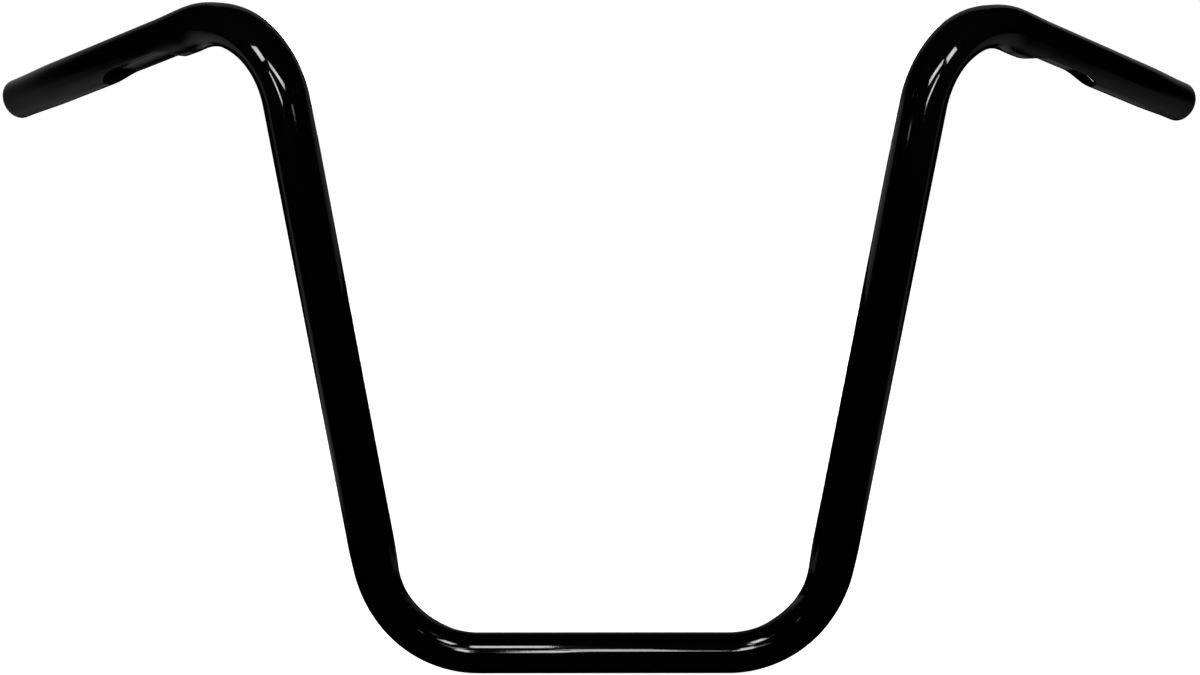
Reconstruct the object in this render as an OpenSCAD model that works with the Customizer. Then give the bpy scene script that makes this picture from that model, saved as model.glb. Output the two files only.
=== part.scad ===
// Motorcycle handlebar: one bent steel tube. A straight clamp section of thin tube carries two leaning
// risers of thicker tube, and each riser bends over into a grip of thin tube that sweeps back and down.
// The origin is at the middle of the clamp section's axis. +X runs along the clamp section, +Z is up,
// and the grips sweep towards +Y, where the rider sits. The left half mirrors the right half, apart from
// the turn of the pressed grooves.

/* [Tube] */
// Outside diameter of the clamp section, the lower bends and the grips
bar_d = 25.4; // [22.2:0.2:26.6]
// Outside diameter of the risers and the top bends
riser_d = 28.6; // [27.2:0.2:31.8]
// Wall thickness of the tube
wall = 3; // [2:0.1:3.6]

/* [Clamp section] */
// Length of the straight stretch that the clamps hold
clamp_len = 152; // [110:1:200]

/* [Risers] */
// Centre-line radius of the two bends at the bottom
lower_bend_r = 63; // [45:0.5:90]
// Lean of each riser away from upright, in degrees
riser_lean = 10.3; // [0:0.1:25]
// Length of each riser, from the lower bend to the top bend
riser_len = 286; // [80:1:500]
// Length of the taper at the foot of each riser
foot_taper_len = 24; // [15:1:40]

/* [Top bends and grips] */
// Centre-line radius of the two bends at the top
top_bend_r = 53; // [40:0.5:90]
// Centre-line radius where each of them opens out towards the grip
open_bend_r = 66; // [50:0.5:100]
// Turn of that opening part, in degrees
open_bend_turn = 17; // [8:0.5:25]
// Turn of each grip from straight outwards to straight back, in degrees
grip_sweep = 42; // [15:1:75]
// Slope of each grip below the level, in degrees
grip_drop = 16; // [0:1:40]
// Length of each grip, from the top bend to the tube's end
grip_len = 178; // [150:1:240]
// Length of the taper between the top bend and the grip's full straight
grip_taper_len = 64; // [30:1:80]
// Rounding of the outer edge at the tube's ends
end_round = 2.4; // [1:0.1:2.8]

/* [Dimples] */
// Length of the pressed groove under each grip
dimple_len = 68; // [50:1:80]
// Depth of the groove below the round of the grip
dimple_depth = 6.5; // [4:0.5:7]
// Radius of the groove, across the tube and at its ends
dimple_r = 22; // [16:1:28]
// Distance from the top bend to the start of the groove
dimple_start = 15; // [8:1:25]
// Turn of the left groove about its grip, from below towards the front, in degrees
dimple_turn_left = 6; // [-30:1:30]
// Turn of the right groove about its grip, from below towards the front, in degrees
dimple_turn_right = -9; // [-30:1:30]

/* [Quality] */
// Smoothness of the round surfaces
$fn = 96; // [48:4:160]

/* [Hidden] */
bar_r = bar_d / 2;
riser_r = riser_d / 2;
bar_bore_r = bar_r - wall;
riser_bore_r = riser_r - wall;
lower_turn = 90 - riser_lean;
// Steps of the rounding at the tube's ends
end_steps = 6;
// How far each bend runs into the straights that it meets, in degrees, and how much thinner it is
bend_lap = 0.5;
bend_hair = 0.05;
// How far each straight runs into the bends that it meets, and how much it narrows on that stretch
tuck_len = 1.5;
tuck_depth = 0.15;
// Straight between the two parts of a top bend
bend_link_len = 3;
// How far the tools that cut the bore run out past the tube's ends
cut_past = 1;
// The groove's ends rise over this length, and the bore is straight from a little beyond the groove
dimple_end_run = sqrt(2 * dimple_r * dimple_depth - pow(dimple_depth, 2));
bore_straight_start = dimple_start + dimple_len + 2 * wall;
paint = [0.02, 0.02, 0.022];

// Directions at the right-hand top bend: up the riser, then out along the grip
riser_dir = [sin(riser_lean), 0, cos(riser_lean)];
grip_dir = [
    cos(grip_drop) * cos(grip_sweep),
    cos(grip_drop) * sin(grip_sweep),
    -sin(grip_drop)
];
top_turn = acos(riser_dir * grip_dir);
tight_turn = top_turn - open_bend_turn;
top_side = cross(riser_dir, grip_dir) / sin(top_turn);
top_inward = cross(top_side, riser_dir);
// The same two directions after the tight part of the top bend
link_dir = cos(tight_turn) * riser_dir + sin(tight_turn) * top_inward;
link_inward = cross(top_side, link_dir);
below = [0, 0, -1];

function unit(v) = v / norm(v);

// Where a bend ends that starts at the point at, facing ahead and turning towards inward
function bend_end(at, ahead, inward, bend_r, turn) =
    at + bend_r * (1 - cos(turn)) * inward + bend_r * sin(turn) * ahead;

// Where the riser, the link and the grip begin, and where the riser and the link end
riser_foot = bend_end([clamp_len / 2, 0, 0], [1, 0, 0], [0, 0, 1], lower_bend_r, lower_turn);
riser_top = riser_foot + riser_len * riser_dir;
link_start = bend_end(riser_top, riser_dir, top_inward, top_bend_r, tight_turn);
link_end = link_start + bend_link_len * link_dir;
grip_root = bend_end(link_end, link_dir, link_inward, open_bend_r, open_bend_turn);

// A direction square to the grip, straight below it as far as the grip's slope lets it be
under_grip = unit(below - (below * grip_dir) * grip_dir);

// Places children so that their Z runs along z_dir and their X along x_dir, from the point at
module placed(at, x_dir, z_dir) {
    y_dir = cross(z_dir, x_dir);
    multmatrix([
        [x_dir[0], y_dir[0], z_dir[0], at[0]],
        [x_dir[1], y_dir[1], z_dir[1], at[1]],
        [x_dir[2], y_dir[2], z_dir[2], at[2]],
        [0, 0, 0, 1]
    ])
        children();
}

// A bend that starts upwards along Z at the origin and turns towards +X. It runs on a little at both ends,
// inside the straights that it meets, and is a hair thinner than they are. The straights narrow as they
// tuck into it, so each pair of surfaces crosses at an angle and no two faces coincide.
module bend(bend_r, turn, r) {
    translate([bend_r, 0, 0])
        rotate([90, 0, 0])
            rotate_extrude(angle = turn + 2 * bend_lap, start = 180 - turn - bend_lap)
                translate([bend_r, 0])
                    circle(r = r - bend_hair);
}

// A straight along Z about the origin that narrows where it tucks into the bends at both its ends
module straight(len, r) {
    half_len = len / 2;
    rotate_extrude()
        polygon([
            [0, -half_len - tuck_len],
            [r - tuck_depth, -half_len - tuck_len],
            [r, -half_len],
            [r, half_len],
            [r - tuck_depth, half_len + tuck_len],
            [0, half_len + tuck_len]
        ]);
}

// The clamp section along X, thinner by the amount inset on every side
module clamp_bar(inset) {
    rotate([0, 90, 0])
        straight(clamp_len, bar_r - inset);
}

// Half of the tube beyond the clamp section, as a solid bar thinner by the amount inset on every side
module half_bar(inset) {
    thin = bar_r - inset;
    thick = riser_r - inset;
    // lower bend, from level to the riser's lean
    placed([clamp_len / 2, 0, 0], [0, 0, 1], [1, 0, 0])
        bend(lower_bend_r, lower_turn, thin);
    // riser, with the taper at its foot
    placed(riser_foot, [cos(riser_lean), 0, -sin(riser_lean)], riser_dir)
        rotate_extrude()
            polygon([
                [0, -tuck_len],
                [thin - tuck_depth, -tuck_len],
                [thin, 0],
                [thick, foot_taper_len],
                [thick, riser_len],
                [thick - tuck_depth, riser_len + tuck_len],
                [0, riser_len + tuck_len]
            ]);
    // top bend: the tight part, a short straight and the part that opens out
    placed(riser_top, top_inward, riser_dir)
        bend(top_bend_r, tight_turn, thick);
    placed((link_start + link_end) / 2, link_inward, link_dir)
        straight(bend_link_len, thick);
    placed(link_end, link_inward, link_dir)
        bend(open_bend_r, open_bend_turn, thick);
}

// Grip on the origin along Z: the taper, the straight and the rounded outer edge
module grip() {
    rotate_extrude()
        polygon(concat(
            [[0, -tuck_len], [riser_r - tuck_depth, -tuck_len], [riser_r, 0], [bar_r, grip_taper_len]],
            [for (i = [0:end_steps])
                let (a = 90 * i / end_steps)
                [bar_r - end_round * (1 - cos(a)), grip_len - end_round * (1 - sin(a))]],
            [[0, grip_len]]
        ));
}

// The bore along the same stretch, which runs out through the tube's end
module grip_bore() {
    rotate_extrude()
        polygon([
            [0, -tuck_len],
            [riser_bore_r - tuck_depth, -tuck_len],
            [riser_bore_r, 0],
            [bar_bore_r, bore_straight_start],
            [bar_bore_r, grip_len + cut_past],
            [0, grip_len + cut_past]
        ]);
}

// The rounded bar that presses the groove, larger by the amount grow on every side
module dimple_tool(dimple_turn, grow) {
    tool_r = dimple_r + grow;
    tool_x = bar_r - dimple_depth + dimple_r;
    half_len = dimple_len / 2 - dimple_end_run;
    placed(grip_root, under_grip, grip_dir)
        rotate([0, 0, -dimple_turn])
            translate([tool_x, 0, dimple_start + dimple_len / 2]) {
                translate([0, 0, -half_len])
                    cylinder(r = tool_r, h = 2 * half_len);
                translate([0, 0, -half_len])
                    sphere(r = tool_r);
                translate([0, 0, half_len])
                    sphere(r = tool_r);
            }
}

// The grooves' tools on both grips
module dimple_tools(grow) {
    dimple_tool(dimple_turn_right, grow);
    mirror([1, 0, 0])
        dimple_tool(dimple_turn_left, grow);
}

module on_both_sides() {
    children();
    mirror([1, 0, 0])
        children();
}

// The tube's outside as one solid bar, with the grooves pressed in
module outside() {
    difference() {
        union() {
            clamp_bar(0);
            on_both_sides() {
                half_bar(0);
                placed(grip_root, under_grip, grip_dir)
                    grip();
            }
        }
        dimple_tools(0);
    }
}

// The hollow from end to end, which the grooves narrow
module hollow() {
    difference() {
        union() {
            clamp_bar(wall);
            on_both_sides() {
                half_bar(wall);
                placed(grip_root, under_grip, grip_dir)
                    grip_bore();
            }
        }
        dimple_tools(wall);
    }
}

module handlebar() {
    color(paint)
        difference() {
            outside();
            hollow();
        }
}

handlebar();
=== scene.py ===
# %% [markdown]
# A tall motorcycle handlebar in gloss black
#
# The real thing is one steel tube. It lies level where the clamps hold it, bends up into two risers of
# thicker tube, and bends over at the top into two grips of thin tube that sweep back and down. A groove is
# pressed into the underside of each grip, just past the top bend, so that cables can lie in it.
#
# The measured model is loaded first. It fixes the place and the size of everything that follows, so the
# tube that is modelled here is drawn in the same metres and about the same origin.

# %% Load the measured model
from math import acos, cos, pi, radians, sin, sqrt, tan

import bmesh
import bpy
from mathutils import Matrix, Vector


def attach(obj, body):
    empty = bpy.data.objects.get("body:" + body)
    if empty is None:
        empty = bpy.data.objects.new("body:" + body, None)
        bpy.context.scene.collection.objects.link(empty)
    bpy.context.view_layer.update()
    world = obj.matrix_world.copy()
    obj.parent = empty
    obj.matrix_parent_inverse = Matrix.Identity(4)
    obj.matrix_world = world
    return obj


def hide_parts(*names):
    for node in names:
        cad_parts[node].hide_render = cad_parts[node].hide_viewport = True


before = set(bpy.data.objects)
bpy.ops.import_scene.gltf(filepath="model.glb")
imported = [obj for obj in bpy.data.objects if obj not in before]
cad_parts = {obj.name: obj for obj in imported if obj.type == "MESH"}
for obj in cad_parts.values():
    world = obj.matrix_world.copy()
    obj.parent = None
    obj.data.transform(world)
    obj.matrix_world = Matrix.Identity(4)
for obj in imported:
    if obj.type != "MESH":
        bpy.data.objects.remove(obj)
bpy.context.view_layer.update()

# %% [markdown]
# The sizes of the tube
#
# A bent tube is fully told by a short list: how long each straight is, how tight each bend is, and which way
# the last straight points. Everything else follows by geometry, so only these numbers are typed in. The
# values are the ones that the measured model uses, in metres and radians.

# %% Name the sizes
BAR_R = 0.0127
RISER_R = 0.0143
WALL = 0.003
CLAMP_HALF = 0.076
LOWER_BEND_R = 0.063
RISER_LEAN = radians(10.3)
RISER_LEN = 0.286
TOP_BEND_R = 0.053
OPEN_BEND_R = 0.066
OPEN_BEND_TURN = radians(17)
BEND_LINK_LEN = 0.003
GRIP_SWEEP = radians(42)
GRIP_DROP = radians(16)
GRIP_LEN = 0.178

LOWER_TURN = pi / 2 - RISER_LEAN
UP = Vector((0, 0, 1))
OUT = Vector((1, 0, 0))
riser_dir = Vector((sin(RISER_LEAN), 0, cos(RISER_LEAN)))
grip_dir = Vector((
    cos(GRIP_DROP) * cos(GRIP_SWEEP),
    cos(GRIP_DROP) * sin(GRIP_SWEEP),
    -sin(GRIP_DROP),
))
TOP_TURN = acos(riser_dir.dot(grip_dir))
print("turn of the top bend in degrees:", round(TOP_TURN * 180 / pi, 2))

# %% [markdown]
# The path of the centre line
#
# A sweep needs a path. Blender could sweep along a curve object, but then the bends would only be close to
# round. Here the path is a chain of legs, and each leg is either a straight or a true arc. Walking the chain
# carries a small set of axes along, the way a bending machine carries the tube: it never twists about its
# own length, so the rings of the sweep stay lined up.

# %% Walk the centre line
def leg_turn(radius, turn, axis_from, axis_to):
    """A bend from one direction to another: its length, its radius and the axis that it turns about."""
    return {"length": radius * turn, "radius": radius, "axis": axis_from.cross(axis_to).normalized()}


def leg_straight(length):
    return {"length": length, "radius": None, "axis": None}


LEGS = [
    leg_straight(CLAMP_HALF),
    leg_turn(LOWER_BEND_R, LOWER_TURN, OUT, riser_dir),
    leg_straight(RISER_LEN),
    leg_turn(TOP_BEND_R, TOP_TURN - OPEN_BEND_TURN, riser_dir, grip_dir),
    leg_straight(BEND_LINK_LEN),
    leg_turn(OPEN_BEND_R, OPEN_BEND_TURN, riser_dir, grip_dir),
    leg_straight(GRIP_LEN),
]


def along(pose, leg, distance):
    """The pose after a distance along a leg. A pose is a matrix whose Z axis points along the tube."""
    here = pose.to_translation()
    ahead = pose.to_3x3() @ UP
    if leg["radius"] is None:
        return Matrix.Translation(ahead * distance) @ pose
    centre = here + leg["axis"].cross(ahead) * leg["radius"]
    swing = Matrix.Rotation(distance / leg["radius"], 4, leg["axis"])
    return Matrix.Translation(centre) @ swing @ Matrix.Translation(-centre) @ pose


starts = [0.0]
poses = [Matrix.Rotation(pi / 2, 4, "Y")]
for leg in LEGS:
    starts.append(starts[-1] + leg["length"])
    poses.append(along(poses[-1], leg, leg["length"]))
BEND_START, RISER_START, TOP_START = starts[1:4]
GRIP_START, TUBE_END = starts[6:]
grip_root = poses[6].to_translation()
top_bend_axis = LEGS[3]["axis"]


def pose_at(s):
    """The pose on the right-hand half at the distance s from the middle, measured along the tube."""
    k = max(i for i in range(len(LEGS)) if s >= starts[i] or i == 0)
    return along(poses[k], LEGS[k], s - starts[k])


print("length of the tube in metres:", round(2 * TUBE_END, 4))
print("grip root:", [round(c, 4) for c in grip_root])

# %% [markdown]
# How thick the tube is along its length
#
# The ends of such a bar are drawn thinner than the risers, because clamps and grips have standard sizes.
# The change is gradual. A bent tube also goes a little flat across the bend, most of all past the middle of
# a tight one, and a little of that flatness comes off the outer side. Both are written as lists of stations:
# a distance, and the value there. A smooth step joins each pair, so no kink shows in the gloss. A flatness
# of 1 is a round tube, and a value below 1 is the share of its width that is left in the plane of the bend.

# %% Join stations with smooth steps
def eased(stations, s):
    """The value at s from a list of (distance, value) stations, joined by smooth steps."""
    if s <= stations[0][0]:
        return stations[0][1]
    for (s0, v0), (s1, v1) in zip(stations, stations[1:]):
        if s <= s1:
            t = (s - s0) / (s1 - s0)
            return v0 + (v1 - v0) * t * t * (3 - 2 * t)
    return stations[-1][1]


print("half way between stations at 0 and 1:", eased([(0.0, 0.0), (1.0, 1.0)], 0.5))

# %% Name the thickness stations
TOP_LEN = GRIP_START - TOP_START
GRIP_ROOT_R = 0.01375
GRIP_MIDDLE_R = 0.0135
RADIUS_STATIONS = [
    (RISER_START - 0.026, BAR_R),
    (RISER_START + 0.018, RISER_R - 0.0001),
    (TOP_START, RISER_R),
    (GRIP_START, RISER_R),
    (GRIP_START + 0.032, GRIP_ROOT_R),
    (TUBE_END - 0.045, GRIP_MIDDLE_R),
    (TUBE_END - 0.006, BAR_R),
]
FLAT_STATIONS = [
    (RISER_START + 0.060, 1.0),
    (RISER_START + 0.150, 1.017),
    (TOP_START, 1.02),
    (TOP_START + 0.45 * TOP_LEN, 0.965),
    (TOP_START + 0.74 * TOP_LEN, 0.915),
    (GRIP_START + 0.004, 1.0),
]
OUTER_SHIFT = 0.25
print("radius in the riser in mm:", round(1000 * eased(RADIUS_STATIONS, TOP_START), 2))
print("least flatness in the top bend:", min(flat for _, flat in FLAT_STATIONS))

# %% [markdown]
# The cross-section at any place
#
# One matrix says where a cross-section lies, which way it faces, how wide it is and how flat. It starts from
# a unit circle. The squeeze across the bend is paid back square to it, so the section keeps its area, as
# steel does.

# %% Place a cross-section
def section_at(s, inset):
    """The matrix that puts a unit circle in the XY plane onto the tube's wall at s, inset by that much."""
    pose = pose_at(s)
    radius = eased(RADIUS_STATIONS, s) - inset
    flat = eased(FLAT_STATIONS, s)
    ahead = pose.to_3x3() @ UP
    across = top_bend_axis.cross(ahead).normalized()
    centre = Matrix.Translation(pose.to_translation() - across * radius * (1 - flat) * OUTER_SHIFT)
    squeeze = Matrix.Scale(flat, 4, across) @ Matrix.Scale(1 / sqrt(flat), 4, top_bend_axis)
    turn = pose.to_3x3().to_4x4()
    return centre @ squeeze @ turn @ Matrix.Diagonal((radius, radius, 1, 1))


tube_end = section_at(TUBE_END, 0).to_translation()
print("middle of the right-hand end:", [round(c, 4) for c in tube_end])

# %% [markdown]
# Sweep half of the tube
#
# A ring of edges is made once and then extruded again and again. Each new ring is carried from its old place
# to the next one by one matrix, which moves, turns and scales it in the same step. The rings are close where
# the shape changes, in the bends and under the grip, and far apart on the plain straights. At the tube's end
# the ring rolls over a rounded lip and runs back through the bore, so the wall has its real thickness.

# %% Choose where the rings go
# Each stretch is told by where it starts, where it ends and the greatest gap between its rings, in metres
RING_SIDES = 112
END_ROUND = 0.0024
LIP_ROUND = 0.0005
LIP_STEPS = 8
GROOVE_ZONE = 0.096


def spaced(start, end, step):
    """Distances from just past start up to end, no further apart than step."""
    count = max(1, round((end - start) / step))
    return [start + (end - start) * (i + 1) / count for i in range(count)]


OUTSIDE_STOPS = (
    spaced(0, BEND_START, 0.010)
    + spaced(BEND_START, RISER_START - 0.014, 0.0018)
    + spaced(RISER_START - 0.014, RISER_START + 0.026, 0.002)
    + spaced(RISER_START + 0.026, TOP_START - 0.012, 0.012)
    + spaced(TOP_START - 0.012, GRIP_START, 0.0016)
    + spaced(GRIP_START, GRIP_START + GROOVE_ZONE, 0.001)
    + spaced(GRIP_START + GROOVE_ZONE, TUBE_END - END_ROUND, 0.006)
)
INSIDE_STOPS = (
    spaced(TUBE_END - LIP_ROUND, GRIP_START + GROOVE_ZONE, -0.010)
    + spaced(GRIP_START + GROOVE_ZONE, GRIP_START, -0.0025)
    + spaced(GRIP_START, TOP_START, -0.006)
    + spaced(TOP_START, RISER_START, -0.030)
    + spaced(RISER_START, BEND_START, -0.006)
    + spaced(BEND_START, 0, -0.025)
)
print("rings outside and inside:", len(OUTSIDE_STOPS), len(INSIDE_STOPS))

# %% Round the tube's end
def lip_sections():
    """The rings over the tube's end: round the outer edge, across the cut face and round the inner edge."""
    sections = []
    for i in range(1, LIP_STEPS + 1):
        a = pi / 2 * i / LIP_STEPS
        sections.append((TUBE_END - END_ROUND * (1 - sin(a)), END_ROUND * (1 - cos(a))))
    for i in range(1, LIP_STEPS // 2 + 1):
        a = pi / 2 * i / (LIP_STEPS // 2)
        sections.append((TUBE_END - LIP_ROUND * (1 - cos(a)), WALL - LIP_ROUND * (1 - sin(a))))
    return sections


print("rings over the lip:", len(lip_sections()))

# %% Sweep the tube's right-hand half
def sweep_half():
    """Half of the tube, outside and inside, open at the middle of the clamp section."""
    bm = bmesh.new()
    at = section_at(0, 0)
    bmesh.ops.create_circle(bm, segments=RING_SIDES, radius=1.0, matrix=at)
    ring = bm.edges[:]
    stops = [(s, 0.0) for s in OUTSIDE_STOPS] + lip_sections() + [(s, WALL) for s in INSIDE_STOPS]
    for s, inset in stops:
        grown = bmesh.ops.extrude_edge_only(bm, edges=ring)["geom"]
        verts = [g for g in grown if isinstance(g, bmesh.types.BMVert)]
        ring = [g for g in grown if isinstance(g, bmesh.types.BMEdge)]
        then = section_at(s, inset)
        bmesh.ops.transform(bm, matrix=then @ at.inverted(), verts=verts)
        at = then
    return bm


tube = sweep_half()
print("faces in the half:", len(tube.faces))

# %% [markdown]
# Mirror it into the whole tube
#
# Both halves of the bar are bent alike, so the second is a mirror image of the first across the middle of
# the clamp section. The mirror welds the two where they meet, at the outside and in the bore. A mirrored
# copy has its faces turned inside out, so the normals are worked out again for the closed shell.

# %% Mirror the half
WELD = 0.00002
bmesh.ops.mirror(
    tube,
    geom=tube.verts[:] + tube.edges[:] + tube.faces[:],
    matrix=Matrix.Identity(4),
    merge_dist=WELD,
    axis="X",
)
bmesh.ops.remove_doubles(tube, verts=tube.verts[:], dist=WELD)
bmesh.ops.recalc_face_normals(tube, faces=tube.faces[:])
open_edges = [edge for edge in tube.edges if len(edge.link_faces) != 2]
print("faces in the tube:", len(tube.faces), "open edges:", len(open_edges))

# %% [markdown]
# Press the grooves
#
# On the real bar a rounded bar of steel is pressed into the grip from below. The wall goes in with it and
# keeps its thickness, and the edge of the dent comes out soft, not sharp. A boolean cut would leave a sharp
# edge, so the wall is pushed instead: every point that the pressing bar would reach moves out of its way,
# and points that it almost reaches start to move too, which rounds the edge.

# %% Name the groove's sizes
GROOVE_R = 0.022
GROOVE_DEPTH = 0.0065
GROOVE_START = 0.015
GROOVE_LEN = 0.068
GROOVE_SOFT = 0.0016
GROOVE_TURNS = {"right": radians(-9), "left": radians(6)}
PRESS_REACH = GROOVE_ZONE + 0.01
# Half the straight length of the pressing bar, without its round ends
PRESS_HALF = GROOVE_LEN / 2 - sqrt(2 * GROOVE_R * GROOVE_DEPTH - GROOVE_DEPTH ** 2)
print("straight part of the pressing bar in mm:", round(2000 * PRESS_HALF, 1))

# %% Place the pressing bar
def pressing_bar(side):
    """The middle of the pressing bar under one grip, in the frame of the right-hand grip."""
    below = (-UP - grip_dir * (-UP).dot(grip_dir)).normalized()
    front = grip_dir.cross(below)
    turn = GROOVE_TURNS[side]
    facing = below * cos(turn) - front * sin(turn)
    along_grip = grip_root + grip_dir * (GROOVE_START + GROOVE_LEN / 2)
    return along_grip + facing * (BAR_R - GROOVE_DEPTH + GROOVE_R)


print("middle of the right-hand pressing bar:", [round(c, 4) for c in pressing_bar("right")])

# %% Press both grooves
def press_groove(bm, side):
    """Pushes the wall of one grip out of the way of a long pressing bar with round ends."""
    flip = Vector((1, 1, 1)) if side == "right" else Vector((-1, 1, 1))
    middle = pressing_bar(side)
    moved = 0
    for vert in bm.verts:
        here = vert.co * flip
        from_root = here - grip_root
        run = from_root.dot(grip_dir)
        if not 0 < run < PRESS_REACH or here.x < 0:
            continue
        outward = from_root - grip_dir * run
        depth_in_wall = eased(RADIUS_STATIONS, GRIP_START + run) - outward.length
        skin = here + outward.normalized() * depth_in_wall
        reach = max(-PRESS_HALF, min(PRESS_HALF, (skin - middle).dot(grip_dir)))
        away = skin - (middle + grip_dir * reach)
        gap = away.length - GROOVE_R
        if gap < GROOVE_SOFT:
            push = -gap if gap < -GROOVE_SOFT else (GROOVE_SOFT - gap) ** 2 / (4 * GROOVE_SOFT)
            vert.co = (here + away.normalized() * push) * flip
            moved += 1
    return moved


for side in GROOVE_TURNS:
    print("points pressed in on the", side, "grip:", press_groove(tube, side))

# %% [markdown]
# Make it an object
#
# A bmesh is only a sketch in memory. Written to a mesh and put into the scene it becomes an object, which is
# shaded smooth, because a bent tube has no flat faces. It then rides on the body of the measured model and
# stands in for the plain tube there.

# %% Make the tube an object
def object_from(bm, name):
    """Turns a finished bmesh into a smooth-shaded object at the origin."""
    mesh = bpy.data.meshes.new(name)
    bm.to_mesh(mesh)
    bm.free()
    mesh.shade_smooth()
    made = bpy.data.objects.new(name, mesh)
    bpy.context.scene.collection.objects.link(made)
    return made


bar = object_from(tube, "bent_tube")
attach(bar, "root")
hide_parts("handlebar")
print("triangles:", 2 * len(bar.data.polygons))

# %% [markdown]
# Gloss black paint
#
# The bar is powder coated: one thick layer of black with a hard gloss of its own. Such a coat isn't quite
# flat. It has the very slight ripple that painters call orange peel, and its sheen changes a little from
# place to place. The Principled shader's own mirror shine gives the gloss, set low enough that the streaks
# of light stay as soft as in the photograph. One fine noise makes the ripple and one coarse noise the sheen,
# and both read Object coordinates, so they stay fixed to the bar from every side.

# %% Name the paint's values
PAINT_BLACK = (0.0006, 0.0006, 0.0007, 1)
PAINT_IOR = 1.5
PAINT_SHINE = 0.22
PEEL_SCALE = 420
PEEL_DETAIL = 2
PEEL_STRENGTH = 0.06
PEEL_HEIGHT = 0.0002
SHEEN_SCALE = 28
SHEEN_DETAIL = 4
SMOOTHEST = 0.03
ROUGHEST = 0.07
print("one ripple is about this many mm wide:", round(1000 / PEEL_SCALE, 1))

# %% Mix the paint
def noise(nodes, links, place, scale, detail):
    """A noise on the object's own coordinates."""
    made = nodes.new("ShaderNodeTexNoise")
    made.inputs["Scale"].default_value = scale
    made.inputs["Detail"].default_value = detail
    links.new(place.outputs["Object"], made.inputs["Vector"])
    return made


def paint_material():
    mat = bpy.data.materials.new("gloss_black_coat")
    mat.use_nodes = True
    nodes = mat.node_tree.nodes
    links = mat.node_tree.links
    nodes.clear()
    out = nodes.new("ShaderNodeOutputMaterial")
    paint = nodes.new("ShaderNodeBsdfPrincipled")
    paint.inputs["Base Color"].default_value = PAINT_BLACK
    paint.inputs["IOR"].default_value = PAINT_IOR
    paint.inputs["Specular IOR Level"].default_value = PAINT_SHINE
    place = nodes.new("ShaderNodeTexCoord")
    peel = noise(nodes, links, place, PEEL_SCALE, PEEL_DETAIL)
    cloud = noise(nodes, links, place, SHEEN_SCALE, SHEEN_DETAIL)
    ripple = nodes.new("ShaderNodeBump")
    ripple.inputs["Strength"].default_value = PEEL_STRENGTH
    ripple.inputs["Distance"].default_value = PEEL_HEIGHT
    sheen = nodes.new("ShaderNodeMapRange")
    sheen.inputs["To Min"].default_value = SMOOTHEST
    sheen.inputs["To Max"].default_value = ROUGHEST
    links.new(peel.outputs["Fac"], ripple.inputs["Height"])
    links.new(ripple.outputs["Normal"], paint.inputs["Normal"])
    links.new(cloud.outputs["Fac"], sheen.inputs["Value"])
    links.new(sheen.outputs["Result"], paint.inputs["Roughness"])
    links.new(paint.outputs["BSDF"], out.inputs["Surface"])
    return mat


bar.data.materials.append(paint_material())
print("paint on:", bar.name)

# %% [markdown]
# Camera
#
# The photograph was taken from the front, a little above the level, with a long lens. The distance and the
# angles below are the ones at which the outline of the bar lines up with the photograph.

# %% Place the camera
PICTURE_W = 1200
SENSOR_W = 36.0
CAMERA_DISTANCE = 1.8305
CAMERA_TARGET = Vector((-0.00286, 0, 0.19320))
CAMERA_RISE = radians(7.33)
CAMERA_SIDE = radians(-1.0)
CAMERA_ROLL = radians(0.19)
# Pixels across the picture for each metre at the target's distance
PIXELS_PER_METRE = 1665

back = Vector((
    sin(CAMERA_SIDE) * cos(CAMERA_RISE),
    -cos(CAMERA_SIDE) * cos(CAMERA_RISE),
    sin(CAMERA_RISE),
))
level = Vector((cos(CAMERA_SIDE), sin(CAMERA_SIDE), 0))
upright = back.cross(level)
picture_right = level * cos(CAMERA_ROLL) + upright * sin(CAMERA_ROLL)
picture_up = upright * cos(CAMERA_ROLL) - level * sin(CAMERA_ROLL)
focal_px = CAMERA_DISTANCE * PIXELS_PER_METRE
lens = bpy.data.cameras.new("camera")
lens.sensor_width = SENSOR_W
lens.lens = SENSOR_W * focal_px / PICTURE_W
camera = bpy.data.objects.new("camera", lens)
turned = Matrix((picture_right, picture_up, back)).transposed().to_4x4()
camera.matrix_world = Matrix.Translation(CAMERA_TARGET + back * CAMERA_DISTANCE) @ turned
bpy.context.scene.collection.objects.link(camera)
bpy.context.scene.camera = camera
print("lens in mm:", round(lens.lens, 2))

# %% [markdown]
# Floor and backdrop
#
# The bar stands in front of plain white. A floor that rises into a backdrop in one sweep has no horizon
# line, so a single white sheet is made: one edge, extruded back, turned up through a quarter circle and
# extruded upwards.

# %% Make the white sheet
FLOOR_Z = -BAR_R - 0.0002
SHEET_HALF_W = 6.0
SHEET_FRONT = -0.6
SHEET_BACK = 5.0
SHEET_CURVE = 1.5
SHEET_STEPS = 24
SHEET_TOP = 6.0


def white_sheet():
    bm = bmesh.new()
    left = bm.verts.new((-SHEET_HALF_W, SHEET_FRONT, FLOOR_Z))
    right = bm.verts.new((SHEET_HALF_W, SHEET_FRONT, FLOOR_Z))
    edge = bm.edges.new((left, right))

    def extrude_by(edges, offset):
        grown = bmesh.ops.extrude_edge_only(bm, edges=edges)["geom"]
        verts = [g for g in grown if isinstance(g, bmesh.types.BMVert)]
        bmesh.ops.translate(bm, vec=offset, verts=verts)
        return [g for g in grown if isinstance(g, bmesh.types.BMEdge)]

    rim = extrude_by([edge], Vector((0, SHEET_BACK - SHEET_FRONT, 0)))
    swept = bmesh.ops.spin(
        bm,
        geom=rim,
        cent=(0, SHEET_BACK, FLOOR_Z + SHEET_CURVE),
        axis=(1, 0, 0),
        angle=pi / 2,
        steps=SHEET_STEPS,
    )
    rim = [g for g in swept["geom_last"] if isinstance(g, bmesh.types.BMEdge)]
    extrude_by(rim, Vector((0, 0, SHEET_TOP)))
    bmesh.ops.recalc_face_normals(bm, faces=bm.faces[:])
    return bm


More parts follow.
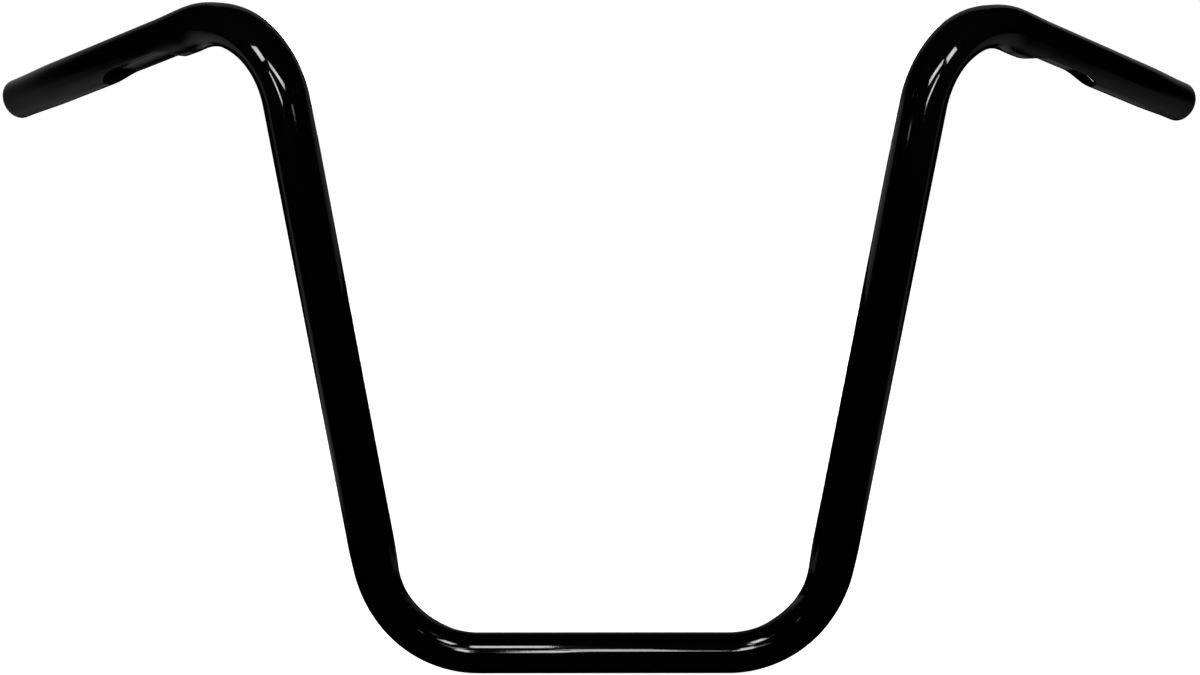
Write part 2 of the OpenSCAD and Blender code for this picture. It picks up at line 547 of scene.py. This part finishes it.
sheet = object_from(white_sheet(), "white_sheet")
print("sheet faces:", len(sheet.data.polygons))

# %% [markdown]
# What the gloss mirrors
#
# Gloss black has no brightness of its own: what is seen on it is a mirror image of the room. To the camera
# the sheet is plain white paper. In the paint it is mostly black, with two dim pools of painted light on the
# floor beside the bar and a faint painted glow high on the backdrop. No lamp lights them: the sheet glows
# there only in the mirror image, so they are painted reflections. The pools give the grey undersides of the
# grips, and the glow gives the thin light rims along their tops. The patterns are smooth steps of the place
# on the sheet, so a small helper adds the steps and the sums between them.

# %% Add shader nodes with a helper
class Graph:
    """A small helper that adds the nodes of a shader and links them."""

    def __init__(self, tree):
        self.nodes = tree.nodes
        self.links = tree.links
        self.nodes.clear()

    def ramp(self, source, low, high, at_low, at_high):
        """A smooth rise or fall from one value to another while the source goes from low to high."""
        node = self.nodes.new("ShaderNodeMapRange")
        node.interpolation_type = "SMOOTHSTEP"
        node.inputs["From Min"].default_value = low
        node.inputs["From Max"].default_value = high
        node.inputs["To Min"].default_value = at_low
        node.inputs["To Max"].default_value = at_high
        self.links.new(source, node.inputs["Value"])
        return node.outputs["Result"]

    def rise(self, source, span):
        return self.ramp(source, *span, 0.0, 1.0)

    def fall(self, source, span):
        return self.ramp(source, *span, 1.0, 0.0)

    def maths(self, operation, first, second=0.0):
        node = self.nodes.new("ShaderNodeMath")
        node.operation = operation
        for socket, value in zip(node.inputs, (first, second)):
            if isinstance(value, float):
                socket.default_value = value
            else:
                self.links.new(value, socket)
        return node.outputs["Value"]

    def product(self, first, *others):
        for other in others:
            first = self.maths("MULTIPLY", first, other)
        return first

    def position(self):
        """The x, y and z of a place on the object."""
        place = self.nodes.new("ShaderNodeTexCoord")
        split = self.nodes.new("ShaderNodeSeparateXYZ")
        self.links.new(place.outputs["Object"], split.inputs["Vector"])
        return split.outputs["X"], split.outputs["Y"], split.outputs["Z"]


print("what the helper can add:", [name for name in vars(Graph) if not name.startswith("_")])

# %% Name the places of the pools
# Each pair is where a smooth step starts and ends, in metres. The pools lie beside and behind the bar.
NEAR_FRONT = (0.03, 0.18)
NEAR_BACK = (0.28, 0.62)
NEAR_INNER = (0.36, 0.50)
LEFT_TO_RIGHT = (-0.2, 0.2)
LEFT_POOL = 0.34
RIGHT_POOL = 0.18
FAR_FRONT = (0.31, 0.46)
FAR_BACK = (0.70, 0.90)
FAR_INNER = (0.27, 0.33)
FAR_OUTER = (0.40, 0.50)
FAR_POOL = 0.18
BACKDROP_RISE = (0.9, 2.2)
BACKDROP_GLOW = 0.14
PAPER_WHITE = (0.8, 0.8, 0.8, 1)
PAPER_GLOW = 0.96
print("the near pools start", NEAR_FRONT[0], "m behind the clamp section")

# %% Colour the sheet
def mirrored_light(graph):
    """How bright each place of the sheet looks in the paint."""
    x, y, z = graph.position()
    aside = graph.maths("ABSOLUTE", x)
    side_level = graph.ramp(x, *LEFT_TO_RIGHT, LEFT_POOL, RIGHT_POOL)
    near_band = graph.product(graph.rise(y, NEAR_FRONT), graph.fall(y, NEAR_BACK))
    near_pool = graph.product(near_band, graph.rise(aside, NEAR_INNER), side_level)
    far_band = graph.product(graph.rise(y, FAR_FRONT), graph.fall(y, FAR_BACK))
    far_sides = graph.product(graph.rise(aside, FAR_INNER), graph.fall(aside, FAR_OUTER))
    far_pool = graph.product(far_band, far_sides, FAR_POOL)
    backdrop = graph.ramp(z, *BACKDROP_RISE, 0.0, BACKDROP_GLOW)
    return graph.maths("ADD", graph.maths("ADD", near_pool, far_pool), backdrop)


def sheet_material():
    """White paper to the camera, and the dim pattern in the paint."""
    mat = bpy.data.materials.new("white_paper")
    mat.use_nodes = True
    graph = Graph(mat.node_tree)
    nodes = graph.nodes
    links = graph.links
    path = nodes.new("ShaderNodeLightPath")
    paper = nodes.new("ShaderNodeBsdfDiffuse")
    paper.inputs["Color"].default_value = PAPER_WHITE
    glow = nodes.new("ShaderNodeEmission")
    links.new(graph.product(path.outputs["Is Camera Ray"], PAPER_GLOW), glow.inputs["Strength"])
    seen = nodes.new("ShaderNodeAddShader")
    links.new(paper.outputs["BSDF"], seen.inputs[0])
    links.new(glow.outputs["Emission"], seen.inputs[1])
    # Painted reflection: for glossy rays the sheet glows in dim pools and a high band, though no lamp lights
    # it
    mirrored = nodes.new("ShaderNodeEmission")
    links.new(mirrored_light(graph), mirrored.inputs["Strength"])
    choose = nodes.new("ShaderNodeMixShader")
    links.new(path.outputs["Is Glossy Ray"], choose.inputs["Fac"])
    links.new(seen.outputs["Shader"], choose.inputs[1])
    links.new(mirrored.outputs["Emission"], choose.inputs[2])
    out = nodes.new("ShaderNodeOutputMaterial")
    links.new(choose.outputs["Shader"], out.inputs["Surface"])
    return mat


sheet.data.materials.append(sheet_material())
print("nodes in the paper:", len(sheet.data.materials[0].node_tree.nodes))

# %% [markdown]
# Cards beside the grips
#
# The outer ends of the grips look dark grey in the photograph and the rest of them black. Something pale
# stood beside them, a little behind. So an upright card is put on each side, near enough that its mirror
# image slides off the grip towards the bend. The card is a painted reflection: it glows only in the paint,
# though it is no lamp, the camera doesn't see it, and it gives no shade. The glow starts along a slanted
# line and fades higher up.

# %% Name the card's sizes
CARD_X = 0.5
CARD_BACK = 1.2
CARD_FOOT = 0.27
CARD_TOP = 1.0
SLANT_FROM = 0.3
SLANT = 0.9
FADE_UP = (0.38, 0.52)
print("height of a card in metres:", round(CARD_TOP - CARD_FOOT, 2))

# %% Put a card on each side
def card_material(name, dark_until, bright_from, brightness, high_up):
    mat = bpy.data.materials.new(name)
    mat.use_nodes = True
    graph = Graph(mat.node_tree)
    _, y, z = graph.position()
    height = graph.maths("SUBTRACT", z, SLANT_FROM)
    slanted = graph.maths("SUBTRACT", y, graph.product(height, SLANT))
    behind_line = graph.ramp(slanted, dark_until, bright_from, 0.0, brightness)
    strength = graph.product(behind_line, graph.ramp(z, *FADE_UP, 1.0, high_up))
    # Painted reflection: the card glows in the paint, though it is no lamp
    glow = graph.nodes.new("ShaderNodeEmission")
    graph.links.new(strength, glow.inputs["Strength"])
    out = graph.nodes.new("ShaderNodeOutputMaterial")
    graph.links.new(glow.outputs["Emission"], out.inputs["Surface"])
    return mat


def side_card(name, x, **look):
    """An upright card beside one grip that glows only in the paint, a painted reflection."""
    bm = bmesh.new()
    foot = [bm.verts.new((x, y, CARD_FOOT)) for y in (0.0, CARD_BACK)]
    grown = bmesh.ops.extrude_edge_only(bm, edges=[bm.edges.new(foot)])["geom"]
    top = [g for g in grown if isinstance(g, bmesh.types.BMVert)]
    bmesh.ops.translate(bm, vec=(0, 0, CARD_TOP - CARD_FOOT), verts=top)
    card = object_from(bm, name)
    card.data.materials.append(card_material(name, **look))
    card.visible_camera = False
    card.visible_diffuse = False
    card.visible_shadow = False
    return card


side_card("left_card", -CARD_X, dark_until=0.06, bright_from=0.19, brightness=0.36, high_up=0.3)
side_card("right_card", CARD_X, dark_until=0.12, bright_from=0.19, brightness=0.19, high_up=0.9)
print("cards at x =", -CARD_X, "and", CARD_X)

# %% [markdown]
# Light
#
# The streaks of light are mirror images of lamps. So the lamps are placed by working backwards from the
# photograph. Under each streak the surface has a slope, and that slope sends the camera's line of sight off
# towards one lamp. A lamp is then told by that direction, as a turn from the front and a rise above the
# level, and by how wide and tall it looks from the bar, all in degrees. Its beam is narrow, so that each
# lamp gives its own streak and hardly any other. Everything else in front of the bar stays dark, which keeps
# the risers black.

# %% Aim a soft lamp
def beam_gain(half_beam):
    """How many times brighter a lamp looks when its power is gathered into a narrow beam."""
    return tan(half_beam) / (tan(half_beam) - half_beam)


def soft_lamp(name, spot, turn, rise, wide, tall, brightness, tilt=0.0, distance=1.0, beam=22):
    """A rectangular lamp aimed at a spot on the bar. Its place and its size are angles seen from there."""
    turn, rise, wide, tall, half_beam = (radians(angle) for angle in (turn, rise, wide, tall, beam / 2))
    towards = Vector((sin(turn) * cos(rise), -cos(turn) * cos(rise), sin(rise)))
    light = bpy.data.lights.new(name, "AREA")
    light.shape = "RECTANGLE"
    light.size = 2 * distance * tan(wide / 2)
    light.size_y = 2 * distance * tan(tall / 2)
    light.spread = 2 * half_beam
    # The brightness of an area lamp is a quarter of its power for each square metre, times the beam's gain
    light.energy = 4 * brightness * light.size * light.size_y / beam_gain(half_beam)
    lamp = bpy.data.objects.new(name, light)
    facing = towards.to_track_quat("Z", "Y").to_matrix().to_4x4()
    roll = Matrix.Rotation(radians(tilt), 4, "Z")
    lamp.matrix_world = Matrix.Translation(Vector(spot) + towards * distance) @ facing @ roll
    lamp.visible_camera = False
    bpy.context.scene.collection.objects.link(lamp)
    return lamp


print("gain of a beam of 22 degrees:", round(beam_gain(radians(11)), 1))

# %% [markdown]
# Lamps for the top bends
#
# The bends curve two ways, so they mirror a wide part of the room in a small space. A lamp has to be wide to
# give a streak there, and near, so that the other bend lies outside its beam.

# %% Light the top bends
NEAR = 0.4
soft_lamp("left_bend_outer", (-0.205, -0.007, 0.364), turn=-41, rise=21, wide=18, tall=12,
          brightness=30, tilt=39, distance=NEAR, beam=44)
soft_lamp("left_bend_middle", (-0.194, -0.012, 0.351), turn=-7, rise=19, wide=33, tall=8,
          brightness=31, tilt=-20, distance=NEAR, beam=64)
soft_lamp("left_bend_low", (-0.194, -0.013, 0.342), turn=-27, rise=3, wide=24, tall=5,
          brightness=32, tilt=-43, distance=NEAR, beam=46)
soft_lamp("left_riser_thin", (-0.185, -0.014, 0.331), turn=25, rise=2, wide=7, tall=1.5,
          brightness=5, tilt=9, distance=NEAR, beam=56)
soft_lamp("right_riser_thin", (0.181, -0.013, 0.321), turn=-44, rise=4.5, wide=7, tall=1.5,
          brightness=4, tilt=-9, distance=NEAR, beam=56)
soft_lamp("right_bend_outer", (0.205, -0.007, 0.364), turn=40, rise=24, wide=17, tall=12,
          brightness=30, tilt=-52, distance=NEAR, beam=44)
soft_lamp("right_bend_middle", (0.195, -0.012, 0.354), turn=11, rise=23, wide=27, tall=8.5,
          brightness=32, tilt=24, distance=NEAR, beam=64)
soft_lamp("right_bend_low", (0.192, -0.014, 0.340), turn=20.4, rise=5.1, wide=27, tall=5,
          brightness=31, tilt=40, distance=NEAR, beam=46)
print("lamps:", len(bpy.data.lights))

# %% [markdown]
# Lamps for the clamp section and the lower bends
#
# A long thin streak lies along the clamp section, a short one lies over its left half, and short streaks
# lie on the bends at both its ends. These lamps stand a metre away.

# %% Light the clamp section and the lower bends
soft_lamp("clamp_wide", (0.010, -0.012, 0.004), turn=1.2, rise=20, wide=11.5, tall=3, brightness=17)
soft_lamp("clamp_high", (-0.056, -0.011, 0.006), turn=-1, rise=43, wide=4.4, tall=13, brightness=30)
soft_lamp("left_foot_high", (-0.095, -0.011, 0.009), turn=19, rise=38, wide=7, tall=12,
          brightness=30, tilt=-11)
soft_lamp("left_foot_low", (-0.084, -0.012, 0.004), turn=3, rise=16, wide=3, tall=12,
          brightness=30, tilt=-11)
soft_lamp("left_foot_faint", (-0.111, -0.012, 0.016), turn=22, rise=19, wide=2, tall=3,
          brightness=4, tilt=-33)
soft_lamp("right_foot_high", (0.094, -0.011, 0.010), turn=-21, rise=47, wide=8, tall=15,
          brightness=34, tilt=13)
soft_lamp("right_foot_low", (0.086, -0.012, 0.005), turn=-3, rise=24, wide=5, tall=13,
          brightness=28, tilt=12)
soft_lamp("right_foot_faint", (0.119, -0.012, 0.025), turn=-32, rise=20, wide=2, tall=3,
          brightness=4, tilt=15)
print("lamps:", len(bpy.data.lights))

# %% [markdown]
# Lamps behind
#
# From the front these lamps show almost nothing, because their mirror images lie on the far side. They draw
# a soft streak along the risers and the grips for someone who walks round the bar.

# %% Light the bar from behind
soft_lamp("behind", (0, 0.05, 0.2), turn=180, rise=8, wide=12, tall=12,
          brightness=8, distance=2.0, beam=60)
for side, name in ((-1, "left"), (1, "right")):
    soft_lamp(name + "_riser_behind", (side * 0.162, 0.014, 0.19), turn=180, rise=-14, wide=9, tall=22,
              brightness=13, distance=0.6, beam=34)
    soft_lamp(name + "_grip_behind", (side * 0.31, 0.11, 0.335), turn=side * -108, rise=50, wide=9, tall=9,
              brightness=3, distance=0.5, beam=26)
print("lamps:", len(bpy.data.lights))

# %% [markdown]
# The room
#
# A wide lamp overhead lights the sheet and lays the bar's soft shadow on it. The bar doesn't mirror it. The
# world beyond the sheet is white to the camera, so that the picture is white from every side, and black in
# the paint.

# %% Light the room
OVERHEAD_SIZE = 2.5
OVERHEAD_POWER = 60
OVERHEAD_PLACE = (0, 0.6, 3.2)


def overhead_lamp():
    light = bpy.data.lights.new("overhead", "AREA")
    light.size = OVERHEAD_SIZE
    light.energy = OVERHEAD_POWER
    lamp = bpy.data.objects.new("overhead", light)
    lamp.location = OVERHEAD_PLACE
    lamp.visible_camera = False
    lamp.visible_glossy = False
    bpy.context.scene.collection.objects.link(lamp)


def room_light():
    world = bpy.data.worlds.new("studio")
    bpy.context.scene.world = world
    world.use_nodes = True
    nodes = world.node_tree.nodes
    links = world.node_tree.links
    nodes.clear()
    path = nodes.new("ShaderNodeLightPath")
    sky = nodes.new("ShaderNodeBackground")
    sky.inputs["Color"].default_value = (1, 1, 1, 1)
    links.new(path.outputs["Is Camera Ray"], sky.inputs["Strength"])
    out = nodes.new("ShaderNodeOutputWorld")
    links.new(sky.outputs["Background"], out.inputs["Surface"])


overhead_lamp()
room_light()
bpy.context.scene.view_settings.view_transform = "Standard"

# %% [markdown]
# Finish
